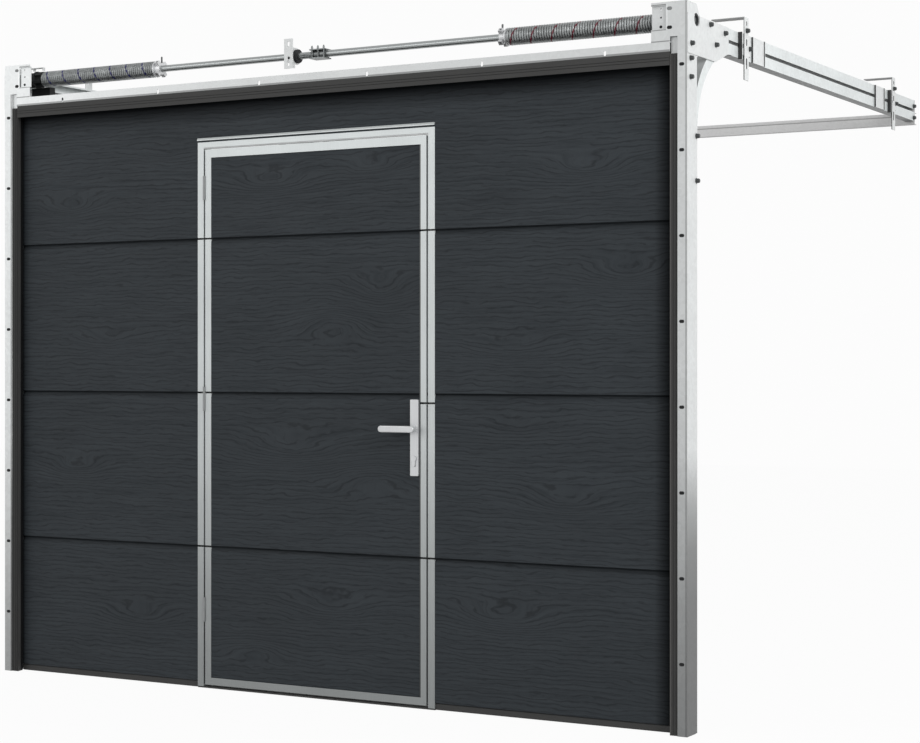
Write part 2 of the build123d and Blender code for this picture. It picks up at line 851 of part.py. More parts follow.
with BuildPart() as track_splices:
    for side in SIDES.values():
        for start in splice_starts:
            x = low_x(side, track_outer, track_outer + splice_sheet)
            block(x, start, lower_rail_low, splice_sheet, splice_length, rails_top - lower_rail_low)
            x = low_x(side, track_outer + splice_sheet, track_outer + splice_sheet + splice_rib_proud)
            for rib_start in (start, start + splice_length - splice_rib):
                block(x, rib_start, lower_rail_low, splice_rib_proud, splice_rib, rails_top - lower_rail_low)
finish(track_splices, "track_splices")

with BuildPart() as track_hangers:
    hanger_low = lower_rail_low - hanger_below
    hanger_top = rails_top + hanger_above
    for side in SIDES.values():
        for start in hanger_starts:
            bar_face = track_outer + hanger_sheet
            x = low_x(side, bar_face, bar_face + hanger_sheet)
            block(x, start, hanger_low, hanger_sheet, hanger_width, hanger_top - hanger_low)
            with BuildSketch(Plane.YZ.offset(x)):
                for rise, length in hanger_slots:
                    with Locations((start + hanger_width / 2, lower_rail_low + rise)):
                        SlotOverall(length, hanger_slot_width, rotation=90)
            extrude(amount=hanger_sheet, mode=Mode.SUBTRACT)
            x = low_x(side, bar_face + hanger_sheet - hanger_reach, bar_face + hanger_sheet)
            block(x, start, hanger_top - hanger_sheet, hanger_reach, hanger_width, hanger_sheet)
            clamp_start = start - clamp_before
            clamp_length = clamp_before + hanger_width + clamp_after
            x = low_x(side, track_outer, bar_face)
            z = lower_rail_low + clamp_low
            block(x, clamp_start, z, hanger_sheet, clamp_length, rails_top - z)
            x = low_x(side, track_outer, track_outer + clamp_flange)
            z = lower_rail_low + clamp_flange_low
            block(x, clamp_start, z, clamp_flange, hanger_sheet, rails_top - z)
finish(track_hangers, "track_hangers")

with BuildPart() as rear_crossbar:
    front = rail_end + end_plate_sheet
    back = front + crossbar_depth
    top = crossbar_low + crossbar_height
    step = top - crossbar_step_height
    outline = [
        (front, crossbar_low),
        (front, step),
        (front + crossbar_step, step),
        (front + crossbar_step, top),
        (back, top),
        (back, top - crossbar_sheet),
        (front + crossbar_step + crossbar_sheet, top - crossbar_sheet),
        (front + crossbar_step + crossbar_sheet, step - crossbar_sheet),
        (front + crossbar_sheet, step - crossbar_sheet),
        (front + crossbar_sheet, crossbar_low + crossbar_sheet),
        (back, crossbar_low + crossbar_sheet),
        (back, crossbar_low),
    ]
    bar_along_x(outline, middle_x - track_outer, 2 * track_outer)
    for side in SIDES.values():
        plate_inner = track_outer - end_plate_inset
        x = low_x(side, plate_inner, track_outer + end_plate_sheet)
        width = end_plate_inset + end_plate_sheet
        block(x, rail_end, crossbar_low, width, end_plate_sheet, rails_top - crossbar_low)
finish(rear_crossbar, "rear_crossbar")

# Shaft in two halves with a coupling
shaft_plane = Plane(origin=(middle_x, shaft_y, shaft_z), x_dir=(0, 1, 0), z_dir=(1, 0, 0))
shaft_end = jamb_outer - shaft_end_inset
for shaft_name, start, end in (
    ("left_shaft", -shaft_end, shaft_split),
    ("right_shaft", shaft_split + fit_gap, shaft_end),
):
    with BuildPart() as shaft:
        with BuildSketch(shaft_plane.offset(start)):
            Circle(shaft_radius)
        extrude(amount=end - start)
    finish(shaft, shaft_name)

with BuildPart() as shaft_coupling:
    with BuildSketch(shaft_plane.offset(coupling_left)):
        Circle(coupling_radius)
        for rise in (coupling_plate_rise, -coupling_plate_rise - coupling_plate):
            with Locations((0, rise + coupling_plate / 2)):
                Rectangle(coupling_plate_width, coupling_plate)
        Circle(cone_bore, mode=Mode.SUBTRACT)
    extrude(amount=coupling_right - coupling_left)
finish(shaft_coupling, "shaft_coupling")

with BuildPart() as centre_bracket:
    bracket_low = opening_height + centre_bracket_low
    bracket_top = opening_height + end_bracket_top
    left = middle_x + centre_bracket_x - centre_bracket_width / 2
    block(left, 0, bracket_low, centre_bracket_width, end_bracket_sheet, bracket_top - bracket_low)
    with BuildSketch(Plane.XZ):
        for z in centre_slots:
            with Locations((middle_x + centre_bracket_x, opening_height + z)):
                SlotOverall(centre_slot_length, centre_slot_width, rotation=90)
    extrude(amount=-end_bracket_sheet, mode=Mode.SUBTRACT)
    web_x = left
    with BuildSketch(shaft_plane.offset(web_x - middle_x)):
        Circle(centre_web_radius)
        with Locations((-shaft_y / 2, 0)):
            Rectangle(shaft_y, 2 * centre_web_radius)
        with Locations((-centre_tab_shift, -centre_web_radius - centre_tab / 2)):
            Rectangle(centre_tab, centre_tab)
        Circle(bearing_radius - bearing_seat + shaft_play, mode=Mode.SUBTRACT)
    extrude(amount=end_bracket_sheet)
finish(centre_bracket, "centre_bracket")

# Bearings: one in the centre bracket and one in each end bracket
with BuildPart() as shaft_bearings:
    seat_radius = bearing_radius - bearing_seat
    face = web_x - middle_x + end_bracket_sheet
    for start, length, radius in (
        (face - end_bracket_sheet, end_bracket_sheet, seat_radius),
        (face, bearing_length, bearing_radius),
    ):
        with BuildSketch(shaft_plane.offset(start)):
            Circle(radius)
            Circle(cone_bore, mode=Mode.SUBTRACT)
        extrude(amount=length)
    for side in SIDES.values():
        seat = jamb_outer - end_bracket_sheet
        for start, length, radius in (
            (seat - end_bearing_length, end_bearing_length, end_bearing_radius),
            (seat, end_bracket_sheet, end_bore_radius),
        ):
            with BuildSketch(shaft_plane.offset(side * start)):
                Circle(radius)
                Circle(cone_bore, mode=Mode.SUBTRACT)
            extrude(amount=side * length)
finish(shaft_bearings, "shaft_bearings")

# Springs, their cones and the cable drums
for side_name, side in SIDES.items():
    with BuildPart() as spring:
        with BuildSketch(shaft_plane.offset(min(side * spring_inner_end, side * spring_outer_end))):
            Circle(spring_radius)
            Circle(spring_radius - spring_wire, mode=Mode.SUBTRACT)
        extrude(amount=spring_length)
    finish(spring, side_name + "_spring")

plug_radius = spring_radius - spring_wire - fit_gap
with BuildPart() as winding_cones:
    for side in SIDES.values():
        with BuildSketch(shaft_plane.offset(side * spring_inner_end)):
            Circle(plug_radius)
            Circle(cone_bore, mode=Mode.SUBTRACT)
        extrude(amount=side * cone_insert)
        with BuildSketch(shaft_plane.offset(side * spring_inner_end)):
            Circle(spring_radius)
            Circle(cone_bore, mode=Mode.SUBTRACT)
        extrude(amount=-side * cone_flange)
        with BuildSketch(shaft_plane.offset(side * spring_inner_end)):
            Circle(cone_collar_radius)
            Circle(cone_bore, mode=Mode.SUBTRACT)
        extrude(amount=-side * cone_collar_length)
        lobe_start = cone_collar_length - cone_lobe_length
        with BuildSketch(shaft_plane.offset(side * (spring_inner_end - lobe_start))):
            with PolarLocations(cone_lobe_reach / 2, cone_lobes, start_angle=45):
                Rectangle(cone_lobe_reach, cone_lobe_width)
            Circle(cone_bore, mode=Mode.SUBTRACT)
        extrude(amount=-side * cone_lobe_length)
        hole_x = middle_x + side * (spring_inner_end - lobe_start - cone_lobe_length / 2)
        for turn in (45, 135):
            with Locations(Location((hole_x, shaft_y, shaft_z), (turn, 0, 0))):
                Cylinder(cone_hole_radius, 3 * cone_lobe_reach, mode=Mode.SUBTRACT)
finish(winding_cones, "winding_cones")

with BuildPart() as cable_drums:
    for side in SIDES.values():
        with BuildSketch(shaft_plane.offset(side * spring_outer_end)):
            Circle(anchor_core_radius)
            with PolarLocations((spring_radius + cone_bore) / 2, anchor_lobes, start_angle=20):
                Rectangle(spring_radius - cone_bore, anchor_lobe_width)
            Circle(cone_bore, mode=Mode.SUBTRACT)
        extrude(amount=side * (drum_inner - spring_outer_end))
        for start, length, radius in (
            (spring_outer_end - cone_insert, cone_insert, plug_radius),
            (drum_inner, drum_flange, drum_flange_radius),
            (drum_inner + drum_flange, drum_length - drum_flange, drum_radius),
        ):
            with BuildSketch(shaft_plane.offset(side * start)):
                Circle(radius)
                Circle(cone_bore, mode=Mode.SUBTRACT)
            extrude(amount=side * length)
finish(cable_drums, "cable_drums")

# Rollers, their brackets, the cables and the hinges on the back of the leaf
roller_heights = [bottom_roller_height] + joints
ear_inner = leaf_end
ear_outer = ear_inner + bracket_sheet
wheel_inner = track_inner + roller_past_track
top_roller_z = upper_rail_low + track_depth / 2
roller_places = [(roller_y, z) for z in roller_heights] + [(top_roller_y, top_roller_z)]


def turned_disc(side, y, z, first, second, radius, mode=Mode.ADD):
    """A round piece along X between two distances from the middle."""
    plane = Plane(origin=(low_x(side, first, second), y, z), x_dir=(0, 1, 0), z_dir=(1, 0, 0))
    with BuildSketch(plane) as disc_sketch:
        Circle(radius)
    extrude(disc_sketch.sketch, amount=abs(second - first), mode=mode)


with BuildPart() as rollers:
    for side in SIDES.values():
        for y, z in roller_places:
            turned_disc(side, y, z, ear_inner, wheel_inner, roller_axle_radius)
            turned_disc(side, y, z, wheel_inner, wheel_inner + roller_width, roller_radius)
finish(rollers, "rollers")


def roller_bracket(side, z, ear_start):
    """A plate on the back of the leaf with an ear that stands beside the leaf's end."""
    plate_x = low_x(side, ear_outer - bracket_width, ear_outer)
    ear_x = low_x(side, ear_inner, ear_outer)
    back = bracket_face + bracket_sheet
    plate_low = z - bracket_half_height
    block(plate_x, bracket_face, plate_low, bracket_width, bracket_sheet, 2 * bracket_half_height)
    block(ear_x, ear_start, z - bracket_ear_width / 2, bracket_sheet, back - ear_start, bracket_ear_width)


with BuildPart() as roller_brackets:
    for side in SIDES.values():
        roller_bracket(side, bottom_roller_height, cable_y - cable_pin_edge)
        pin_end = cable_x + cable_pin_radius
        turned_disc(side, cable_y, bottom_roller_height, ear_outer, pin_end, cable_pin_radius)
        for z in joints:
            roller_bracket(side, z, roller_y - bracket_ear_edge)
        arm_low = opening_height - top_bracket_drop
        arm_x = low_x(side, ear_inner, ear_outer)
        arm_outline = [
            (bracket_face, arm_low),
            (bracket_face + bracket_sheet, arm_low),
            (top_roller_y + bracket_ear_edge, top_roller_z - bracket_ear_edge),
            (top_roller_y + bracket_ear_edge, top_roller_z + bracket_ear_edge),
            (top_roller_y - bracket_ear_edge, top_roller_z + bracket_ear_edge),
            (top_roller_y - bracket_ear_edge, opening_height),
            (bracket_face, arm_low + 2 * bracket_half_height),
        ]
        bar_along_x(arm_outline, arm_x, bracket_sheet)
        plate_x = low_x(side, ear_outer - bracket_width, ear_outer)
        block(plate_x, bracket_face, arm_low, bracket_width, bracket_sheet, 2 * bracket_half_height)
        bore_radius = roller_axle_radius + roller_axle_play
        for y, z in roller_places:
            turned_disc(side, y, z, ear_inner, ear_outer, bore_radius, Mode.SUBTRACT)
finish(roller_brackets, "roller_brackets")

with BuildPart() as top_bracket_blocks:
    for side in SIDES.values():
        x = low_x(side, ear_inner - top_block_width, ear_inner)
        z = opening_height - top_block_drop
        block(x, top_block_front, z, top_block_width, top_block_depth, top_block_height)
finish(top_bracket_blocks, "top_bracket_blocks")

with BuildPart() as hoisting_cables:
    cable_low = bottom_roller_height + cable_pin_radius + fit_gap
    for side in SIDES.values():
        with BuildSketch(Plane.XY.offset(cable_low)):
            with Locations((across(side, cable_x), cable_y)):
                Circle(cable_radius)
        extrude(amount=shaft_z - cable_low)
finish(hoisting_cables, "hoisting_cables")

hinge_places = (-860.0, -520.0, 464.0, 850.0)
wicket_hinge_places = (-380.0, -28.0, 300.0)


def back_hinge(x, z):
    """A plate over the joint with its knuckle along the fold."""
    block(
        middle_x + x - back_hinge_width / 2,
        leaf_back,
        z - back_hinge_height / 2,
        back_hinge_width,
        back_hinge_sheet,
        back_hinge_height,
    )
    plane = Plane(
        origin=(middle_x + x - back_hinge_width / 2, leaf_back + back_hinge_knuckle, z),
        x_dir=(0, 1, 0),
        z_dir=(1, 0, 0),
    )
    with BuildSketch(plane) as knuckle_sketch:
        Circle(back_hinge_knuckle)
    extrude(knuckle_sketch.sketch, amount=back_hinge_width)


with BuildPart() as leaf_hinges:
    for x in hinge_places:
        for z in joints:
            back_hinge(x, z)
finish(leaf_hinges, "leaf_hinges")

with BuildPart() as wicket_leaf_hinges:
    for x in wicket_hinge_places:
        for z in joints:
            back_hinge(x, z)
finish(wicket_leaf_hinges, "wicket_leaf_hinges")
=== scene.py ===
import math

import bmesh
import bpy
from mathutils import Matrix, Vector


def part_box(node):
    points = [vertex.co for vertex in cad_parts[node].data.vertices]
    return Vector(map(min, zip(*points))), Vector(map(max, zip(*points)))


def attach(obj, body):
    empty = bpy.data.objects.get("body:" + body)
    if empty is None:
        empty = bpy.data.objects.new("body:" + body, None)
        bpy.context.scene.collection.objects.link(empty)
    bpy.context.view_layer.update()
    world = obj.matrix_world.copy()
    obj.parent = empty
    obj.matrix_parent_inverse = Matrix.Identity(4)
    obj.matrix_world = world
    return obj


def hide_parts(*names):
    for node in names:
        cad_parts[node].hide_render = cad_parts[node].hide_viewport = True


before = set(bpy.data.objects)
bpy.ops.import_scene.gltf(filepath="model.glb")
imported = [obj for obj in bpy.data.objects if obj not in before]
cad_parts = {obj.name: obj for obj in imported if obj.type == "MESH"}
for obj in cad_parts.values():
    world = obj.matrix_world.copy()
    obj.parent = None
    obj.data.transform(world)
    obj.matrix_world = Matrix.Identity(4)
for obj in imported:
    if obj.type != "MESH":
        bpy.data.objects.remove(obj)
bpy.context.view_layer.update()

# Places in the frame, in metres; a reach is measured sideways from the middle of the opening
MID = 1.276
JOINTS = (0.47, 0.98, 1.49)
LOCK_SPLIT_DROP = 0.028
LEAF_FRONT = 0.036
LEAF_TOP = 1.9365
SEAL_EDGE = 1.236
SHAFT_Y = 0.067
SHAFT_Z = 2.073
PLATE_FACE = 1.2965
JAMB_FACE = 1.294
HANGER_FACE = 1.298
CLAMP_FACE = 1.295
RAIL_FACE = 1.292
CLAMP_TOP = 2.087
LINTEL_BACK = 0.0021

# Camera, solved from the photograph's vanishing lines
EYE = (MID + 3.574, -5.335, 1.066)
CAMERA_TURN = 29.6
LENS = 78.5
SENSOR = 36.0
LENS_SHIFT = -0.0054


def place_camera():
    data = bpy.data.cameras.new("camera")
    data.lens = LENS
    data.sensor_width = SENSOR
    data.shift_y = LENS_SHIFT
    camera = bpy.data.objects.new("camera", data)
    bpy.context.scene.collection.objects.link(camera)
    camera.location = EYE
    camera.rotation_euler = (math.radians(90.0), 0.0, math.radians(CAMERA_TURN))
    bpy.context.scene.camera = camera


place_camera()
bpy.context.scene.view_settings.view_transform = "Standard"


class Graph:
    """Short ways to add and join shader nodes."""

    def __init__(self, name):
        self.material = bpy.data.materials.new(name)
        self.material.use_nodes = True
        self.nodes = self.material.node_tree.nodes
        self.links = self.material.node_tree.links
        self.shader = self.nodes["Principled BSDF"]
        self.place = self.nodes.new("ShaderNodeTexCoord").outputs["Object"]
        self.x, self.y, self.z = self.parts(self.place)

    def parts(self, vector):
        split = self.nodes.new("ShaderNodeSeparateXYZ")
        self.links.new(vector, split.inputs[0])
        return split.outputs

    def feed(self, socket, value):
        if isinstance(value, bpy.types.NodeSocket):
            self.links.new(value, socket)
        else:
            socket.default_value = value

    def math(self, operation, first, second=0.0, third=0.0):
        node = self.nodes.new("ShaderNodeMath")
        node.operation = operation
        for socket, value in zip(node.inputs, (first, second, third)):
            self.feed(socket, value)
        return node.outputs[0]

    def plus(self, first, second):
        return self.math("ADD", first, second)

    def minus(self, first, second):
        return self.math("SUBTRACT", first, second)

    def times(self, first, second):
        return self.math("MULTIPLY", first, second)

    def near(self, value, centre, half):
        """One within half of the centre, nought elsewhere."""
        return self.math("COMPARE", value, centre, half)

    def over(self, value, limit):
        return self.math("GREATER_THAN", value, limit)

    def under(self, value, limit):
        return self.math("LESS_THAN", value, limit)

    def right(self):
        """How far a point lies to the right of the middle."""
        return self.minus(self.x, MID)

    def side(self):
        """How far a point lies from the middle on either side."""
        return self.math("ABSOLUTE", self.right())

    def vector(self, x, y, z):
        node = self.nodes.new("ShaderNodeCombineXYZ")
        for socket, value in zip(node.inputs, (x, y, z)):
            self.feed(socket, value)
        return node.outputs[0]

    def stretch(self, x, y, z):
        node = self.nodes.new("ShaderNodeMapping")
        self.feed(node.inputs["Vector"], self.place)
        node.inputs["Scale"].default_value = (x, y, z)
        return node.outputs[0]

    def noise(self, vector, scale=1.0, detail=2.0):
        node = self.nodes.new("ShaderNodeTexNoise")
        self.feed(node.inputs["Vector"], vector)
        node.inputs["Scale"].default_value = scale
        node.inputs["Detail"].default_value = detail
        return node.outputs[0]

    def cells(self, vector, scale):
        node = self.nodes.new("ShaderNodeTexVoronoi")
        self.feed(node.inputs["Vector"], vector)
        node.inputs["Scale"].default_value = scale
        split = self.nodes.new("ShaderNodeSeparateColor")
        self.links.new(node.outputs["Color"], split.inputs[0])
        return split.outputs[0]

    def ramp(self, value, stops):
        node = self.nodes.new("ShaderNodeValToRGB")
        self.feed(node.inputs[0], value)
        elements = node.color_ramp.elements
        while len(elements) < len(stops):
            elements.new(0.5)
        for element, (position, color) in zip(elements, stops):
            element.position = position
            element.color = (*color, 1.0)
        return node.outputs[0]

    def span(self, value, low, high, to_low=0.0, to_high=1.0):
        node = self.nodes.new("ShaderNodeMapRange")
        for socket, number in zip(node.inputs, (value, low, high, to_low, to_high)):
            self.feed(socket, number)
        return node.outputs[0]

    def where(self, flag, tone):
        """The tone where the flag is one, and one elsewhere."""
        return self.span(flag, 0.0, 1.0, 1.0, tone)

    def blend(self, mode, factor, first, second):
        node = self.nodes.new("ShaderNodeMix")
        node.data_type = "RGBA"
        node.blend_type = mode
        self.feed(node.inputs[0], factor)
        for socket, value in ((node.inputs[6], first), (node.inputs[7], second)):
            self.feed(socket, (*value, 1.0) if isinstance(value, tuple) else value)
        return node.outputs[2]

    def tint(self, tone, other):
        """The product of two colours."""
        return self.blend("MULTIPLY", 1.0, tone, other)

    def gray(self, value):
        node = self.nodes.new("ShaderNodeCombineColor")
        for socket in node.inputs:
            self.feed(socket, value)
        return node.outputs[0]

    def bump(self, height, strength, distance):
        node = self.nodes.new("ShaderNodeBump")
        node.inputs["Strength"].default_value = strength
        node.inputs["Distance"].default_value = distance
        self.links.new(height, node.inputs["Height"])
        self.links.new(node.outputs[0], self.shader.inputs["Normal"])

    def facing(self):
        """The face's direction as three values."""
        return self.parts(self.nodes.new("ShaderNodeNewGeometry").outputs["True Normal"])

    def finish(self, tone, roughness):
        self.links.new(tone, self.shader.inputs["Base Color"])
        self.links.new(roughness, self.shader.inputs["Roughness"])
        return self.material


# The knots of the embossed grain per section: x from the middle, z, half sizes, rise of the grain
KNOTS = {
    4: [(-1.02, 1.62, 0.11, 0.036, 0.0595), (-0.18, 1.665, 0.15, 0.040, 0.0560),
        (0.20, 1.70, 0.10, 0.030, 0.0420), (0.95, 1.66, 0.12, 0.035, 0.0525),
        (-0.62, 1.78, 0.12, 0.03, 0.0210)],
    3: [(1.09, 1.345, 0.13, 0.040, 0.0630), (0.24, 1.31, 0.11, 0.050, 0.0595),
        (0.06, 1.20, 0.12, 0.045, -0.0630), (-0.85, 1.16, 0.14, 0.035, 0.0350),
        (0.70, 1.12, 0.15, 0.040, 0.0315)],
    2: [(-0.10, 0.80, 0.20, 0.055, 0.0630), (0.22, 0.72, 0.16, 0.050, -0.0560),
        (-1.00, 0.72, 0.12, 0.038, 0.0560), (0.90, 0.66, 0.14, 0.042, 0.0525),
        (0.72, 0.88, 0.10, 0.030, 0.0245)],
    1: [(0.68, 0.30, 0.15, 0.045, 0.0595), (-0.72, 0.22, 0.14, 0.040, 0.0560),
        (0.05, 0.30, 0.14, 0.045, 0.0490), (-0.25, 0.14, 0.12, 0.035, -0.0420)],
}
GRAIN_PITCH = 0.0140
SHEET_STOPS = [(0.10, (0.0225, 0.0275, 0.0320)), (0.50, (0.0335, 0.0398, 0.0456)),
               (0.90, (0.0390, 0.0465, 0.0525))]


def layer(g, number, along, step, level, across, detail):
    """Noise stretched along X, different on each section, at a level up the sheet."""
    return g.noise(g.vector(g.times(g.x, along), step * number, g.times(level, across)), 1.0, detail)


def grain_flow(g, number):
    """The height up the sheet, bent by slow waves, knots and small ripples; and the ripples."""
    wave = layer(g, number, 1.6, 3.7, g.z, 5.0, 1.0)
    flow = g.plus(g.z, g.times(g.minus(wave, 0.5), 0.035))
    for x, z, half_x, half_z, rise in KNOTS[number]:
        dx = g.math("DIVIDE", g.minus(g.x, MID + x), half_x)
        dz = g.math("DIVIDE", g.minus(g.z, z), half_z)
        square = g.plus(g.times(dx, dx), g.times(dz, dz))
        hill = g.math("EXPONENT", g.times(square, -1.0))
        flow = g.plus(flow, g.times(hill, rise))
    ripple = layer(g, number, 11.0, 5.3, g.z, 30.0, 2.0)
    return g.plus(flow, g.times(g.minus(ripple, 0.5), 0.010)), ripple


def leaf_shade(g):
    """Painted shade: darker under each joint, below the top seal and beside the side seals."""
    shade = 1.0
    for joint in JOINTS:
        below = g.minus(joint, g.z)
        inside = g.over(below, -0.003)
        shade = g.minus(shade, g.times(g.span(below, -0.002, 0.020, 0.62, 0.0), inside))
    shade = g.times(shade, g.span(g.z, LEAF_TOP - 0.065, LEAF_TOP, 1.0, 0.20))
    shade = g.times(shade, g.span(g.right(), SEAL_EDGE - 0.060, SEAL_EDGE - 0.008, 1.0, 0.14))
    return g.times(shade, g.span(g.side(), SEAL_EDGE - 0.004, SEAL_EDGE + 0.006, 1.0, 0.30))


def grained_sheet(number):
    """Anthracite coat over steel embossed with wood grain that bends round its knots, with painted shade at
    the joints and seals.
    """
    g = Graph("coated_sheet_" + str(number))
    flow, ripple = grain_flow(g, number)
    streak = layer(g, number, 4.5, 1.3, flow, 150.0, 1.0)
    dash = layer(g, number, 17.0, 2.1, flow, 250.0, 1.5)
    fleck = layer(g, number, 60.0, 4.4, flow, 330.0, 1.0)
    patch = g.noise(g.stretch(1.2, 1.0, 2.5), 2.0, 2.0)
    depth = g.plus(g.span(streak, 0.33, 0.67, -0.32, 0.32), g.times(g.minus(dash, 0.5), 1.6))
    tone = g.ramp(g.span(depth, -1.0, 1.0), SHEET_STOPS)
    ring = g.math("FRACT", g.plus(g.math("DIVIDE", flow, GRAIN_PITCH), g.times(ripple, 1.4)))
    contour = g.span(g.math("ABSOLUTE", g.minus(ring, 0.5)), 0.05, 0.20, 1.0, 0.0)
    broken = g.span(dash, 0.40, 0.50)
    tone = g.blend("MULTIPLY", g.times(g.times(contour, broken), 0.70), tone, (0.42, 0.42, 0.43))
    tone = g.tint(tone, g.gray(g.span(patch, 0.3, 0.7, 0.93, 1.06)))
    tone = g.tint(tone, g.gray(g.span(fleck, 0.60, 0.78, 1.0, 0.80)))
    # Painted shade at the joints and seals darkens the colour and dims the specular sheen.
    shade = leaf_shade(g)
    tone = g.tint(tone, g.gray(g.math("MAXIMUM", shade, 0.08)))
    g.links.new(g.times(g.math("MAXIMUM", shade, 0.05), 0.16), g.shader.inputs["Specular IOR Level"])
    g.bump(g.plus(streak, g.times(dash, 0.6)), 0.35, 0.0005)
    return g.finish(tone, g.span(streak, 0.3, 0.7, 0.60, 0.52))


# Painted light and shade on the metal: tones by height, as shares of RAMP_TOP, and from left to right
RAMP_TOP = 2.2
RAMP_REACH = 1.30
FRONT_STOPS = [(0.0, 0.36), (0.06, 0.39), (0.16, 0.50), (0.26, 0.68), (0.38, 0.91), (0.50, 0.99), (1.0, 1.0)]
SIDE_STOPS = [(0.0, 0.165), (0.114, 0.195), (0.18, 0.226), (0.245, 0.285), (0.30, 0.50), (0.377, 0.97),
              (1.0, 1.0)]
ALUMINIUM_STOPS = [(0.0, 0.46), (0.06, 0.50), (0.16, 0.60), (0.26, 0.76), (0.38, 0.95), (0.50, 0.98),
                   (1.0, 0.92)]
LEFT_STOPS = [(0.0, 1.12), (0.18, 0.96), (0.36, 0.80), (0.60, 0.76), (1.0, 0.76)]


def gray_ramp(g, share, stops):
    return g.ramp(share, [(place, (tone, tone, tone)) for place, tone in stops])


def by_height(g, stops):
    """Painted shade: the metal's tone gets darker towards the floor."""
    return gray_ramp(g, g.span(g.z, 0.0, RAMP_TOP), stops)


def by_place(g):
    """Painted light: sheet that faces the viewer gets brighter towards the left end."""
    return gray_ramp(g, g.span(g.x, MID - RAMP_REACH, MID + RAMP_REACH), LEFT_STOPS)


# Painted shade lines on the metal, and one painted highlight strip: where they begin and end, or their middle
# and half width
BRACKET_EDGE = (1.2870, 1.2880)
BRACKET_FOOT = 2.0082
BRACKET_FOOT_REACH = 1.240
POCKET_REACH = 1.228
POCKET_TOP = (2.1125, 0.0018)
POCKET_FOOT = (2.0395, 0.0014)
NOTCH_STRIP_REACH = (1.2305, 0.0022)
NOTCH_STRIP_HEIGHT = (2.076, 0.036)
JAMB_OUTER_EDGE = 1.2875
JAMB_INNER_EDGE = (-1.2655, 0.0025)
JAMB_LIGHT_FOOT = (0.40, 0.90)
LINTEL_FOOT = (1.9815, 1.9825)
BAR_FOLD = (2.0257, 0.0022)
GAP_HALF = 0.0046
GAP_DEPTH = 0.004
STILE_LINE = (0.0036, 0.0042)


def bracket_edge(g):
    """Painted shade lines at the end brackets' outer edge, round the pocket and along the lower edge, and a
    painted highlight strip.
    """
    side = g.side()
    outer = g.span(g.right(), *BRACKET_EDGE, 1.0, 0.66)
    rim = g.math("MAXIMUM", g.near(g.z, *POCKET_TOP), g.near(g.z, *POCKET_FOOT))
    foot = g.times(g.under(g.z, BRACKET_FOOT), g.under(side, BRACKET_FOOT_REACH))
    lines = g.math("MAXIMUM", g.times(rim, g.under(side, POCKET_REACH)), foot)
    strip = g.times(g.near(side, *NOTCH_STRIP_REACH), g.near(g.z, *NOTCH_STRIP_HEIGHT))
    return g.gray(g.times(g.times(outer, g.where(lines, 0.42)), g.where(strip, 1.2)))


def jamb_edge(g):
    """Painted shade lines at the edges of the jambs and painted light on the left jamb's foot."""
    right = g.right()
    outer = g.over(right, JAMB_OUTER_EDGE)
    inner = g.near(right, *JAMB_INNER_EDGE)
    foot = g.times(g.under(right, 0.0), g.span(g.z, *JAMB_LIGHT_FOOT, 1.0, 0.0))
    return g.gray(g.times(g.times(g.where(outer, 0.66), g.where(inner, 0.42)), g.where(foot, 1.2)))


def lintel_edge(g):
    """Painted shade along the lower edge of the lintel strip."""
    return g.gray(g.span(g.z, *LINTEL_FOOT, 0.42, 1.0))


def bar_line(g):
    """Painted shade along the fold near the top of the rear crossbar."""
    return g.gray(g.where(g.near(g.z, *BAR_FOLD), 0.5))


def joint_shade(g):
    """Painted shade: the profiles are darkened inside the gaps at the leaf's joints."""
    gaps = 0.0
    for joint in JOINTS + (JOINTS[1] - LOCK_SPLIT_DROP,):
        gaps = g.math("MAXIMUM", gaps, g.near(g.z, joint, GAP_HALF))
    return g.gray(g.where(g.times(gaps, g.over(g.y, LEAF_FRONT + GAP_DEPTH)), 0.06))


def stile_edge(g):
    """The painted shade in the gaps, and painted shade along the lock stile's edge at the panels."""
    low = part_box("wicket_lock_stile")[0][0]
    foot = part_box("wicket_panel_1")[0][2]
    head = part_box("wicket_panel_4")[1][2]
    beside = g.times(g.over(g.z, foot), g.under(g.z, head))
    start, end = [low + inset for inset in STILE_LINE]
    line = g.times(g.span(g.x, start, end, 1.0, 0.0), beside)
    return g.tint(joint_shade(g), g.gray(g.where(line, 0.16)))


def by_facing(g, front, under, front_low):
    """Painted shade by face direction: tones for faces towards -Y, down and towards +Y; front_low is for
    those under the clamps' top.
    """
    out = g.facing()
    if front_low is not None:
        front = g.span(g.z, CLAMP_TOP - 0.001, CLAMP_TOP + 0.001, front_low, front)
    low = g.span(out[2], -0.95, -0.5, under, 1.0)
    ahead = g.span(out[1], -0.95, -0.5, front, 1.0)
    behind = g.span(out[1], 0.5, 0.95, 1.0, 0.8)
    return g.gray(g.times(g.times(low, ahead), behind))


def galvanised(name, color, metal=0.2, rough=0.42, falls=False, front=1.0, under=1.0, front_low=None,
               edges=None):
    """Zinc-coated sheet with its spangle; falls adds painted shade that darkens towards the floor, edges adds
    painted shade lines, front and under give painted shade by face direction.
    """
    g = Graph(name)
    spangle = g.cells(g.place, 90.0)
    cloud = g.noise(g.place, 6.0, 3.0)
    tone = g.tint(color, g.gray(g.span(spangle, 0.0, 1.0, 0.95, 1.04)))
    tone = g.tint(tone, g.gray(g.span(cloud, 0.3, 0.7, 0.95, 1.03)))
    # Faces towards X get a painted side tone, the others the painted light of by_place.
    sideways = g.span(g.math("ABSOLUTE", g.facing()[0]), 0.5, 0.8)
    ahead_tone = by_place(g)
    side_tone = g.gray(0.94)
    if falls:
        ahead_tone = g.tint(ahead_tone, by_height(g, FRONT_STOPS))
        side_tone = g.tint(side_tone, by_height(g, SIDE_STOPS))
    if edges:
        ahead_tone = g.tint(ahead_tone, edges(g))
    tone = g.tint(tone, g.blend("MIX", sideways, ahead_tone, side_tone))
    tone = g.tint(tone, by_facing(g, front, under, front_low))
    g.shader.inputs["Metallic"].default_value = metal
    g.bump(g.plus(spangle, g.noise(g.place, 300.0, 1.0)), 0.12, 0.0002)
    return g.finish(tone, g.span(spangle, 0.0, 1.0, rough - 0.05, rough + 0.06))


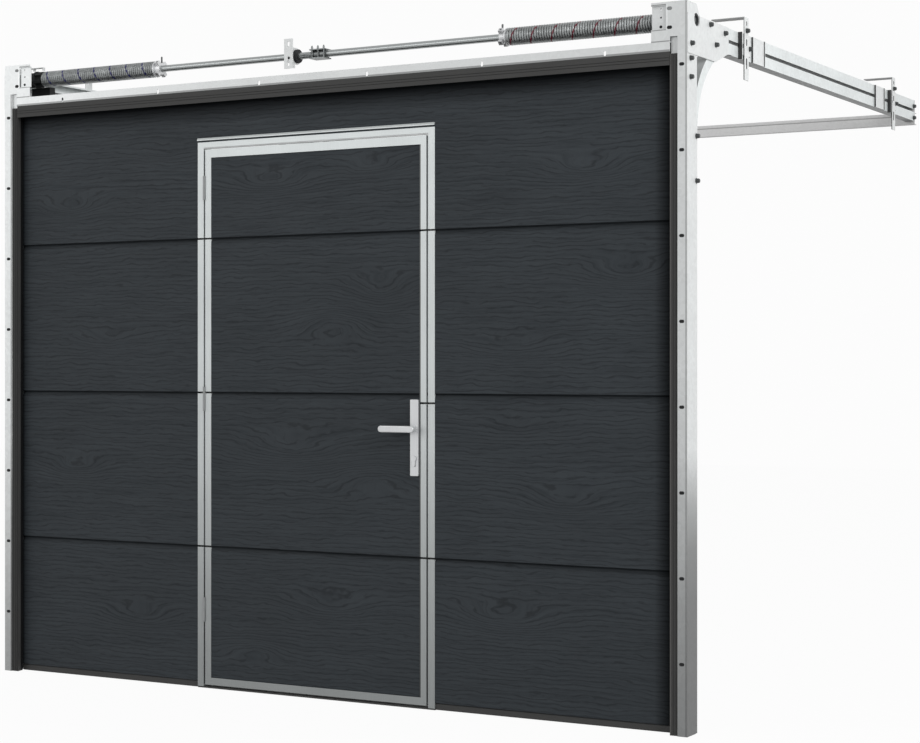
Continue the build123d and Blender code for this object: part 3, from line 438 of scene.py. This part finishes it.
def drawn_metal(name, color, along, metal, rough, stops=None, edges=None):
    """Drawn or brushed metal: fine lines along one axis; stops give painted shade by height, edges painted
    shade lines.
    """
    g = Graph(name)
    scales = {"x": (6.0, 700.0, 700.0), "z": (700.0, 700.0, 6.0)}[along]
    lines = g.noise(g.stretch(*scales), 1.0, 2.0)
    cloud = g.noise(g.place, 5.0, 2.0)
    tone = g.tint(color, g.gray(g.span(lines, 0.3, 0.7, 0.94, 1.05)))
    tone = g.tint(tone, g.gray(g.span(cloud, 0.3, 0.7, 0.96, 1.03)))
    if stops:
        tone = g.tint(tone, by_height(g, stops))
    if edges:
        tone = g.tint(tone, edges(g))
    g.shader.inputs["Metallic"].default_value = metal
    g.bump(lines, 0.15, 0.0001)
    return g.finish(tone, g.span(lines, 0.3, 0.7, rough - 0.06, rough + 0.08))


# Painted shade in the grooves of the left seal's face: reach, half width, share
SEAL_LINES = ((1.2500, 0.0018, 0.60), (1.2407, 0.0024, 0.90), (1.2570, 0.0012, 0.45))
# Painted highlight on the right seal's inner edge, painted light on the flank and painted shadow at the root
# by the leaf
SEAL_LIGHT_LINE = (1.2404, 0.0030)
SEAL_FACE_END = 0.0062
SEAL_FLANK_START = 0.0075
SEAL_FLANK_REACH = 1.2375
SEAL_ROOT = (0.019, 0.0235)


def seal_lines(g, tone):
    """Painted light and shade on the side seals: a painted highlight on the right inner edge, painted shade
    in the grooves, painted light on the flank, a painted shadow at the root by the leaf.
    """
    side = g.side()
    left = g.under(g.x, MID)
    edge = g.times(g.near(side, *SEAL_LIGHT_LINE), g.minus(1.0, left))
    tone = g.blend("MIX", g.times(edge, 0.9), tone, (0.085, 0.083, 0.080))
    for reach, half, share in SEAL_LINES:
        line = g.times(g.near(side, reach, half), g.under(g.y, SEAL_FACE_END))
        tone = g.blend("MIX", g.times(g.times(line, left), share), tone, (0.004, 0.004, 0.004))
    flank = g.times(g.over(g.y, SEAL_FLANK_START), g.over(side, SEAL_FLANK_REACH))
    tone = g.blend("MIX", flank, tone, g.tint(tone, (1.35, 1.35, 1.35)))
    return g.blend("MIX", g.span(g.y, *SEAL_ROOT), tone, (0.002, 0.002, 0.0025))


def rubber(name, color, lines=None):
    """Matt rubber, plastic or coat with a fine grain; faces that look down get painted shade."""
    g = Graph(name)
    grain = g.noise(g.place, 900.0, 2.0)
    cloud = g.noise(g.stretch(1.0, 1.0, 0.5), 8.0, 3.0)
    tone = g.tint(color, g.gray(g.span(cloud, 0.3, 0.7, 0.85, 1.12)))
    tone = g.tint(tone, g.gray(g.span(grain, 0.3, 0.7, 0.9, 1.08)))
    tone = g.tint(tone, g.gray(g.span(g.facing()[2], -0.95, -0.5, 0.12, 1.0)))
    if lines:
        tone = lines(g, tone)
    g.shader.inputs["Specular IOR Level"].default_value = 0.3
    g.bump(grain, 0.2, 0.0002)
    return g.finish(tone, g.span(cloud, 0.3, 0.7, 0.62, 0.75))


WIRE = 0.0041
WIRE_PLAY = 0.0004
COIL_STEPS = 24
STRIPE_PITCH = 0.070


def spring_steel(name, paint, turn, shift):
    """Oiled wire with a paint line that runs round the spring."""
    g = Graph(name)
    angle = g.math("ARCTAN2", g.minus(g.z, SHAFT_Z), g.minus(g.y, SHAFT_Y))
    run = g.math("DIVIDE", g.minus(g.x, shift), STRIPE_PITCH * turn)
    whole = g.plus(g.plus(run, g.math("DIVIDE", angle, 2.0 * math.pi)), 40.0)
    line = g.near(g.math("FRACT", whole), 0.5, 0.038)
    grain = g.noise(g.stretch(60.0, 200.0, 200.0), 1.0, 2.0)
    patch = g.noise(g.place, 30.0, 2.0)
    tone = g.ramp(grain, [(0.3, (0.19, 0.20, 0.20)), (0.7, (0.34, 0.355, 0.355))])
    tone = g.tint(tone, g.gray(g.span(patch, 0.3, 0.7, 0.8, 1.1)))
    tone = g.blend("MIX", line, tone, paint)
    g.links.new(g.times(g.minus(1.0, line), 0.7), g.shader.inputs["Metallic"])
    return g.finish(tone, g.span(grain, 0.3, 0.7, 0.30, 0.42))


ZINC = (0.82, 0.84, 0.84)
ZINC_PLATE = (0.84, 0.86, 0.86)
ANODISED = (0.56, 0.59, 0.59)
SEAL_BLACK = (0.048, 0.048, 0.047)

# Painted shade by height and painted edge lines on the jambs and tracks
GALVANISED = galvanised("galvanised_steel", (0.80, 0.82, 0.82), falls=True, edges=jamb_edge)
GALVANISED_PALE = galvanised("galvanised_pale", ZINC)
LINTEL_STEEL = galvanised("lintel_steel", ZINC, edges=lintel_edge)
BRACKET_STEEL = galvanised("bracket_steel", ZINC, edges=bracket_edge)
# Painted shade: faces towards -Y and faces that look down are darker on the hangers, splice plates, tracks
# and crossbar
HANGER_STEEL = galvanised("hanger_steel", ZINC_PLATE, front=0.5, under=0.2, front_low=0.04)
PLATE_STEEL = galvanised("plate_steel", ZINC_PLATE, front=0.07, under=0.20)
TRACK_STEEL = galvanised("track_steel", (0.84, 0.88, 0.88), front=0.55, under=0.19)
BAR_STEEL = galvanised("bar_steel", (0.87, 0.87, 0.87), front=0.97, under=0.5, edges=bar_line)
CONE_METAL = galvanised("cone_metal", (0.80, 0.81, 0.82), metal=0.5, rough=0.35)
SHAFT_STEEL = drawn_metal("shaft_steel", (0.31, 0.325, 0.325), "x", 0.8, 0.27)
COUPLING_STEEL = drawn_metal("coupling_steel", (0.16, 0.17, 0.17), "x", 0.7, 0.35)
SPRING_STEEL = drawn_metal("spring_steel", (0.16, 0.17, 0.19), "x", 0.7, 0.35)
BOLT_STEEL = drawn_metal("bolt_steel", (0.060, 0.065, 0.066), "x", 0.4, 0.45)
# Painted shade by height and in the joint gaps on the aluminium; painted shade along the lock stile's edge
ALUMINIUM = drawn_metal("anodised_aluminium", ANODISED, "z", 0.45, 0.38, ALUMINIUM_STOPS, joint_shade)
STILE_METAL = drawn_metal("stile_aluminium", ANODISED, "z", 0.45, 0.38, ALUMINIUM_STOPS, stile_edge)
HINGE_METAL = drawn_metal("hinge_aluminium", (0.27, 0.28, 0.28), "z", 0.3, 0.45)
HANDLE = drawn_metal("handle_metal", (0.60, 0.61, 0.62), "z", 0.6, 0.34)
CABLE = drawn_metal("cable_steel", (0.45, 0.45, 0.45), "z", 0.7, 0.4)
RUBBER = rubber("seal_rubber", SEAL_BLACK)
SIDE_RUBBER = rubber("side_seal_rubber", SEAL_BLACK, seal_lines)
PALE_RUBBER = rubber("pale_rubber", (0.62, 0.63, 0.63))
GRAY_RUBBER = rubber("gray_rubber", (0.26, 0.27, 0.27))
DARK_SCREWS = rubber("dark_screws", (0.006, 0.0065, 0.007))
COATED_EDGE = rubber("coated_edge", (0.010, 0.012, 0.013))
CAST_METAL = rubber("cast_metal", (0.022, 0.024, 0.025))
NYLON = rubber("roller_nylon", (0.70, 0.70, 0.68))

WEAR = [
    (GALVANISED, ["left_jamb", "right_jamb", "vertical_tracks", "roller_brackets", "leaf_hinges",
                  "wicket_leaf_hinges"]),
    (GALVANISED_PALE, ["corner_plates", "centre_bracket"]),
    (LINTEL_STEEL, ["lintel_strip"]),
    (BRACKET_STEEL, ["end_brackets"]),
    (HANGER_STEEL, ["track_hangers"]),
    (PLATE_STEEL, ["track_splices"]),
    (TRACK_STEEL, ["track_curves", "horizontal_rails"]),
    (BAR_STEEL, ["rear_crossbar"]),
    (CONE_METAL, ["winding_cones"]),
    (SHAFT_STEEL, ["left_shaft", "right_shaft"]),
    (COUPLING_STEEL, ["shaft_coupling"]),
    (SPRING_STEEL, ["left_spring", "right_spring"]),
    (ALUMINIUM, ["wicket_frame_left", "wicket_frame_right", "wicket_frame_head", "wicket_hinge_stile",
                 "wicket_rails", "drip_cap"]),
    (STILE_METAL, ["wicket_lock_stile"]),
    (HINGE_METAL, ["wicket_hinges_frame_side", "wicket_hinges_door_side"]),
    (HANDLE, ["handle_plates", "lock_cylinder", "outside_lever", "inside_lever", "spindle"]),
    (CABLE, ["hoisting_cables"]),
    (RUBBER, ["top_seal", "bottom_seal", "threshold"]),
    (SIDE_RUBBER, ["side_seals"]),
    (COATED_EDGE, ["end_caps"]),
    (CAST_METAL, ["cable_drums", "shaft_bearings", "top_bracket_blocks"]),
    (NYLON, ["rollers"]),
]
for number in KNOTS:
    WEAR.append((grained_sheet(number), ["section_" + str(number), "wicket_panel_" + str(number)]))
LOOKS = {name: material for material, names in WEAR for name in names}

for name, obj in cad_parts.items():
    obj.data.materials.clear()
    obj.data.materials.append(LOOKS[name])
    for polygon in obj.data.polygons:
        polygon.material_index = 0


def mesh_piece(name, bm, material, smooth=False):
    """Turn a bmesh into a piece that rides on the frame."""
    mesh = bpy.data.meshes.new(name)
    bmesh.ops.recalc_face_normals(bm, faces=bm.faces)
    bm.to_mesh(mesh)
    bm.free()
    mesh.materials.append(material)
    for polygon in mesh.polygons:
        polygon.use_smooth = smooth
    piece = bpy.data.objects.new(name, mesh)
    bpy.context.scene.collection.objects.link(piece)
    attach(piece, "frame")
    return piece


def skin_rings(bm, rings):
    """Faces between rings of equal counts, with both ends closed."""
    count = len(rings[0])
    for low, high in zip(rings[:-1], rings[1:]):
        for i in range(count):
            j = (i + 1) % count
            bm.faces.new((low[i], low[j], high[j], high[i]))
    bm.faces.new(rings[0])
    bm.faces.new(list(reversed(rings[-1])))


# Springs: paint, hand of the winding, shift of the paint line along the spring
SPRINGS = (("left", (0.012, 0.012, 0.11), -1.0, 0.0), ("right", (0.13, 0.008, 0.022), 1.0, 0.017))
WIRE_SIDES = 8
ALONG = Vector((1.0, 0.0, 0.0))


def wind_spring(bm, low, high, turn):
    """Wire wound side by side on the shaft line, within the box of the spring's solid."""
    radius = (high[2] - low[2]) / 2.0 - WIRE - 0.0001
    steps = int((high[0] - low[0]) / (2.0 * WIRE + WIRE_PLAY)) * COIL_STEPS
    start = low[0] + WIRE
    length = high[0] - low[0] - 2.0 * WIRE
    rings = []
    for i in range(steps + 1):
        angle = turn * 2.0 * math.pi * i / COIL_STEPS
        out = Vector((0.0, math.cos(angle), math.sin(angle)))
        centre = Vector((start + length * i / steps, SHAFT_Y, SHAFT_Z)) + out * radius
        ring = []
        for k in range(WIRE_SIDES):
            around = 2.0 * math.pi * k / WIRE_SIDES
            across = out * (WIRE * math.cos(around)) + ALONG * (WIRE * math.sin(around))
            ring.append(bm.verts.new(centre + across))
        rings.append(ring)
    skin_rings(bm, rings)


for side_name, paint, turn, shift in SPRINGS:
    node = side_name + "_spring"
    bm = bmesh.new()
    wind_spring(bm, *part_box(node), turn)
    steel = spring_steel(side_name + "_spring_steel", paint, turn, shift)
    coil = mesh_piece(side_name + "_spring_wire", bm, steel, smooth=True)
    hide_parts(node)

AXES = {
    "+x": (Vector((0, 1, 0)), Vector((0, 0, 1)), Vector((1, 0, 0))),
    "-x": (Vector((0, 0, 1)), Vector((0, 1, 0)), Vector((-1, 0, 0))),
    "+y": (Vector((0, 0, 1)), Vector((1, 0, 0)), Vector((0, 1, 0))),
    "+z": (Vector((1, 0, 0)), Vector((0, 1, 0)), Vector((0, 0, 1))),
}


def add_turned(bm, foot, axis, profile, steps):
    """A turned or many-sided form: rings of (height, radius, corners) along an axis."""
    first, second, out = AXES[axis]
    rings = []
    for height, radius, corners in profile:
        ring = []
        for i in range(steps):
            turn = 2.0 * math.pi * i / steps
            reach = radius
            if corners:
                half = math.pi / corners
                reach = radius * math.cos(half) / math.cos((turn % (2.0 * half)) - half)
            around = first * (reach * math.cos(turn)) + second * (reach * math.sin(turn))
            ring.append(bm.verts.new(Vector(foot) + out * height + around))
        rings.append(ring)
    skin_rings(bm, rings)


WASHER = 0.0012
NUT_HEIGHT = 0.0062
THREAD_END = 0.0026
NUT_STEPS = 24


def nut_profile(washer, nut, thread):
    """A washer, a hexagonal nut with broken edges and the end of its thread, by their radii."""
    top = NUT_HEIGHT + 0.0014
    return [(0.0, washer, 0), (WASHER, washer, 0), (WASHER, nut, 6), (NUT_HEIGHT + 0.0010, nut, 6),
            (top, nut * 0.9, 0), (top, thread, 0), (top + THREAD_END, thread, 0),
            (top + THREAD_END + 0.0006, thread * 0.8, 0)]


# Nuts on the sides of the corner plates, jambs, hangers and rail ends: reach, y, z
TRACK_NUT = nut_profile(0.0080, 0.0074, 0.0060)
HANGER_NUT_HEIGHT = 2.096
CLAMP_NUT_HEIGHT = 2.044
RAIL_END_Y = 2.191
SIDE_NUTS = [
    (PLATE_FACE, 0.024, 1.999), (PLATE_FACE, 0.165, 2.073), (PLATE_FACE, 0.278, 2.063),
    (PLATE_FACE, 0.208, 2.019), (JAMB_FACE, 0.024, 1.956), (JAMB_FACE, 0.024, 1.902),
    (JAMB_FACE, 0.067, 1.735), (JAMB_FACE, 0.067, 1.605),
]
SIDE_NUTS += [(HANGER_FACE, y, HANGER_NUT_HEIGHT) for y in (0.452, 1.927)]
SIDE_NUTS += [(CLAMP_FACE, y, CLAMP_NUT_HEIGHT) for y in (0.483, 1.958, 0.410, 1.885)]
SIDE_NUTS += [(RAIL_FACE, RAIL_END_Y, z) for z in (2.017, 2.061)]
for side_name, side, axis in (("left", -1.0, "-x"), ("right", 1.0, "+x")):
    bm = bmesh.new()
    for reach, y, z in SIDE_NUTS:
        add_turned(bm, (MID + side * reach, y, z), axis, TRACK_NUT, NUT_STEPS)
    mesh_piece(side_name + "_track_bolts", bm, BOLT_STEEL)

PLUG_STEPS = 24


def add_plug(bm, x, z, half_long, half_high, front, back):
    """A plug with round ends, longer along X than it is high."""
    rings = []
    for y in (front, back):
        ring = []
        for i in range(PLUG_STEPS):
            turn = 2.0 * math.pi * (i + 0.5) / PLUG_STEPS
            shift = (half_long - half_high) * (1.0 if math.cos(turn) > 0.0 else -1.0)
            across = x + shift + half_high * math.cos(turn)
            ring.append(bm.verts.new((across, y, z + half_high * math.sin(turn))))
        rings.append(ring)
    skin_rings(bm, rings)


# Screws in the slots of the jambs, end brackets, lintel strip and centre bracket
JAMB_SLOT_FIRST = 0.208
JAMB_SLOT_PITCH = 0.247
JAMB_SLOTS = 8
JAMB_SLOT_REACH = 1.2772
BRACKET_SLOT_REACH = 1.2390
LOWER_SLOT = 2.0455
UPPER_SLOT = 2.1005
POCKET_HOLE_REACH = 1.2090
POCKET_HOLE = 2.0500
PROUD = -0.0004
JAMB_PLUG = (0.0078, 0.0049, PROUD, 0.0080)
BRACKET_PLUG = (0.0080, 0.0050, PROUD, 0.0050)
POCKET_PLUG = (0.0044, 0.0043, 0.0062, 0.0120)
HEAD_HEIGHT = 0.0012
ROUND_HEAD = [(0.0, 0.0085, 0), (HEAD_HEIGHT, 0.0085, 0)]
SQUARE_HEAD = [(0.0, 0.0052, 4), (HEAD_HEIGHT, 0.0052, 4)]
LINTEL_SCREW = (MID - 1.0325, LINTEL_BACK, 1.9925)
CENTRE_SCREW = (MID - 0.0892, -0.0010, 2.0577)
screws = bmesh.new()
plugs = bmesh.new()
for side in (-1.0, 1.0):
    for i in range(JAMB_SLOTS):
        height = JAMB_SLOT_FIRST + JAMB_SLOT_PITCH * i
        add_plug(screws, MID + side * JAMB_SLOT_REACH, height, *JAMB_PLUG)
    add_plug(screws, MID + side * BRACKET_SLOT_REACH, LOWER_SLOT, *BRACKET_PLUG)
    add_plug(screws, MID + side * POCKET_HOLE_REACH, POCKET_HOLE, *POCKET_PLUG)
    add_plug(plugs, MID + side * BRACKET_SLOT_REACH, UPPER_SLOT, *BRACKET_PLUG)
add_turned(screws, LINTEL_SCREW, "+y", ROUND_HEAD, 20)
add_turned(screws, CENTRE_SCREW, "+y", SQUARE_HEAD, 16)
mesh_piece("bracket_plugs", plugs, GRAY_RUBBER)
mesh_piece("wall_screws", screws, DARK_SCREWS)

# Three bolts through the coupling's plates
COUPLING_NUT = nut_profile(0.0040, 0.0038, 0.0020)
COUPLING_BOLT = [(0.0, 0.0020, 0), (0.027, 0.0020, 0)]
COUPLING_BOLT_Y = SHAFT_Y - 0.0175
COUPLING_TOP = SHAFT_Z + 0.0155
COUPLING_FOOT = SHAFT_Z - 0.0135
bm = bmesh.new()
for x in (-0.033, -0.0105, 0.012):
    add_turned(bm, (MID + x, COUPLING_BOLT_Y, COUPLING_TOP), "+z", COUPLING_NUT, NUT_STEPS)
    add_turned(bm, (MID + x, COUPLING_BOLT_Y, COUPLING_FOOT), "+z", COUPLING_BOLT, 12)
mesh_piece("coupling_bolts", bm, COUPLING_STEEL)

# Square-headed set screws of the winding cones
CONE_REACH = 0.655
CONE_TOP = SHAFT_Z + 0.0185
SET_SCREW = [(0.0, 0.0028, 0), (0.013, 0.0028, 0), (0.013, 0.0036, 4), (0.021, 0.0036, 4), (0.022, 0.0026, 4)]
bm = bmesh.new()
for side in (-1.0, 1.0):
    add_turned(bm, (MID + side * CONE_REACH, SHAFT_Y, CONE_TOP), "+z", SET_SCREW, NUT_STEPS)
mesh_piece("cone_set_screws", bm, BOLT_STEEL)

# Pale gasket under the wicket frame's head: its section's y and z from the head's lower front edge
GASKET = [(0.001, 0.0), (0.002, -0.0046), (0.006, -0.0050), (0.010, -0.0020), (0.010, 0.0)]
PROFILE_FACE = 0.024
head_low, head_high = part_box("wicket_frame_head")
bm = bmesh.new()
rings = []
for x in (head_low[0] + PROFILE_FACE, head_high[0] - PROFILE_FACE):
    rings.append([bm.verts.new((x, head_low[1] + y, head_low[2] + z)) for y, z in GASKET])
skin_rings(bm, rings)
mesh_piece("head_gasket", bm, PALE_RUBBER)

# Floor, backdrop and light
FLOOR_HALF = 14.0
FLOOR_SEEN = 0.955
WORLD_SEEN = 0.975
WORLD_LIGHT = 0.46
KEY_POWER = 210.0
FILL_POWER = 80.0
SEEN_RAYS = ("Is Camera Ray", "Is Glossy Ray", "Is Transmission Ray")


def lay_floor():
    """A matt floor that the camera and the metal see almost white, with the object's shadow."""
    g = Graph("floor")
    g.shader.inputs["Base Color"].default_value = (0.80, 0.80, 0.80, 1.0)
    g.shader.inputs["Roughness"].default_value = 0.8
    ray = g.nodes.new("ShaderNodeLightPath").outputs
    seen = g.math("MAXIMUM", g.math("MAXIMUM", ray[SEEN_RAYS[0]], ray[SEEN_RAYS[1]]), ray[SEEN_RAYS[2]])
    lit = g.nodes.new("ShaderNodeBsdfDiffuse")
    lit.inputs["Color"].default_value = (0.03, 0.03, 0.03, 1.0)
    glow = g.nodes.new("ShaderNodeEmission")
    glow.inputs["Color"].default_value = (1.0, 1.0, 1.0, 1.0)
    glow.inputs["Strength"].default_value = FLOOR_SEEN
    both = g.nodes.new("ShaderNodeAddShader")
    g.links.new(lit.outputs[0], both.inputs[0])
    g.links.new(glow.outputs[0], both.inputs[1])
    choice = g.nodes.new("ShaderNodeMixShader")
    g.links.new(seen, choice.inputs[0])
    g.links.new(g.shader.outputs[0], choice.inputs[1])
    g.links.new(both.outputs[0], choice.inputs[2])
    g.links.new(choice.outputs[0], g.nodes["Material Output"].inputs["Surface"])
    mesh = bpy.data.meshes.new("floor")
    bm = bmesh.new()
    bmesh.ops.create_grid(bm, x_segments=4, y_segments=4, size=FLOOR_HALF)
    bm.to_mesh(mesh)
    bm.free()
    mesh.materials.append(g.material)
    floor = bpy.data.objects.new("floor", mesh)
    floor.location = (MID, 1.0, -0.002)
    bpy.context.scene.collection.objects.link(floor)


def hang_backdrop():
    """A white world that lights the object less than it shows."""
    world = bpy.data.worlds.new("studio")
    bpy.context.scene.world = world
    world.use_nodes = True
    nodes = world.node_tree.nodes
    links = world.node_tree.links
    background = nodes["Background"]
    background.inputs["Color"].default_value = (1.0, 1.0, 1.0, 1.0)
    ray = nodes.new("ShaderNodeLightPath").outputs
    seen = ray[SEEN_RAYS[0]]
    for name in SEEN_RAYS[1:]:
        larger = nodes.new("ShaderNodeMath")
        larger.operation = "MAXIMUM"
        links.new(seen, larger.inputs[0])
        links.new(ray[name], larger.inputs[1])
        seen = larger.outputs[0]
    level = nodes.new("ShaderNodeMapRange")
    level.inputs["To Min"].default_value = WORLD_LIGHT
    level.inputs["To Max"].default_value = WORLD_SEEN
    links.new(seen, level.inputs["Value"])
    links.new(level.outputs[0], background.inputs["Strength"])


def soft_lamp(name, place, target, size, power):
    data = bpy.data.lights.new(name, "AREA")
    data.shape = "RECTANGLE"
    data.size, data.size_y = size
    data.energy = power
    lamp = bpy.data.objects.new(name, data)
    lamp.location = place
    lamp.rotation_euler = (Vector(target) - Vector(place)).to_track_quat("-Z", "Y").to_euler()
    bpy.context.scene.collection.objects.link(lamp)


lay_floor()
hang_backdrop()
soft_lamp("key", (MID + 6.0, -2.0, 4.0), (MID, 0.5, 1.2), (3.0, 3.0), KEY_POWER)
soft_lamp("fill", (MID - 4.0, -6.0, 3.5), (MID, 0.0, 1.0), (4.0, 3.0), FILL_POWER)
